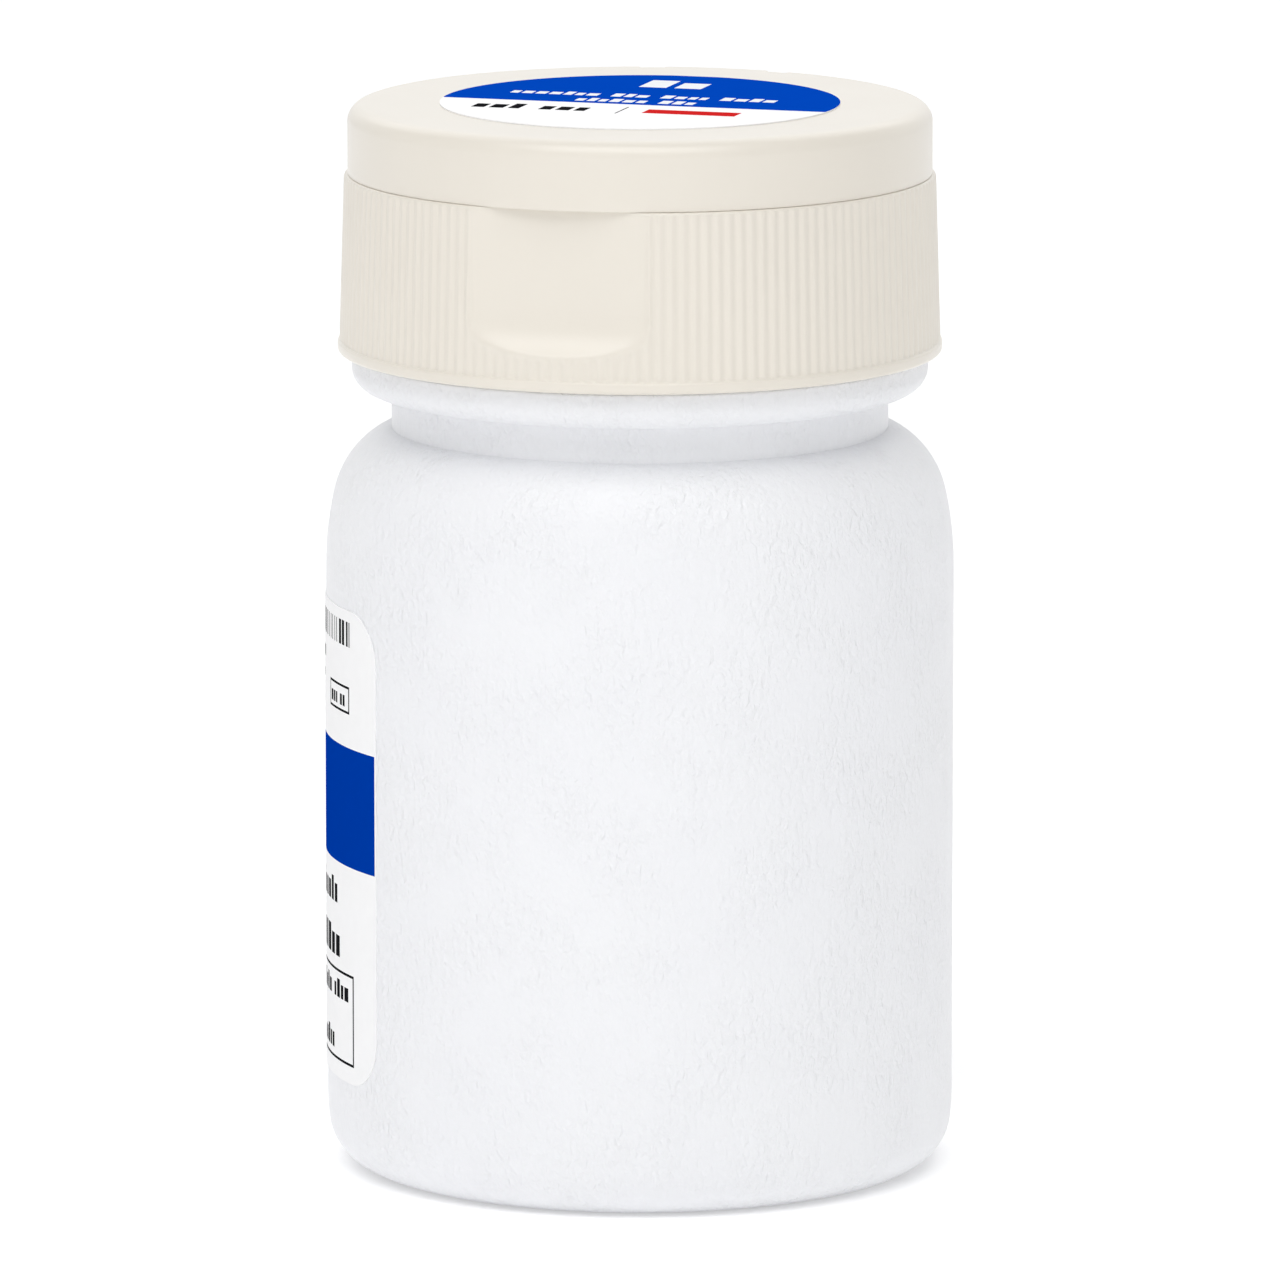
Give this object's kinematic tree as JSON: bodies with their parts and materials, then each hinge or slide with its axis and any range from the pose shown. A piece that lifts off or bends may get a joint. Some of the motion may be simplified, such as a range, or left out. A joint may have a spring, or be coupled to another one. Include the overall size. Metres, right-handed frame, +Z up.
{
  "type": "flip-top vial",
  "caption": "Round white wide-mouth vial with a ribbed screw closure, a flip-top lid with a thumb recess, and plain printed labels.",
  "frame": {"origin": "centre of the base, in the plane that the bottle stands on", "axes": "+Z up along the bottle's axis, -Y towards the thumb recess, +Y towards the lid's hinge"},
  "size_m": [0.0501, 0.0501, 0.0853],
  "materials": {
    "bottle_plastic": "satin blow-moulded polyethylene with a fine leathery skin",
    "closure_plastic": "satin moulded polypropylene, warm off-white",
    "lid_plastic": "satin moulded polypropylene, warm off-white",
    "gasket_foam": "fine closed-cell foam",
    "body_label_paper": "coated white label paper with a blue band",
    "lid_label_paper": "coated label paper, blue and white"
  },
  "bodies": {
    "bottle": {"bottle": "bottle_plastic", "body_label": "body_label_paper"},
    "liner": {"gasket": "gasket_foam"},
    "closure": {"closure_base": "closure_plastic", "hinge_web": "closure_plastic", "hinge_strap_left": "closure_plastic", "hinge_strap_right": "closure_plastic"},
    "lid": {"flip_lid": "lid_plastic", "lid_label": "lid_label_paper"}
  },
  "joints": [
    {"name": "closure_rise", "type": "slide", "parent": "bottle", "child": "liner", "axis": [0, 0, 1], "range_m": [0, 0.0127]},
    {"name": "closure_unscrew", "type": "hinge", "parent": "liner", "child": "closure", "pos_m": [0, 0, 0.0655], "axis": [0, 0, 1], "range_deg": [0, 1080]},
    {"name": "lid_hinge", "type": "hinge", "parent": "closure", "child": "lid", "pos_m": [0, 0.02335, 0.0798], "axis": [-1, 0, 0], "range_deg": [0, 165], "deforming": ["hinge_web", "hinge_strap_left", "hinge_strap_right"]}
  ],
  "couplings": [
    {"joint": "closure_rise", "follows": "closure_unscrew", "m_per_rad": 0.0006737}
  ]
}
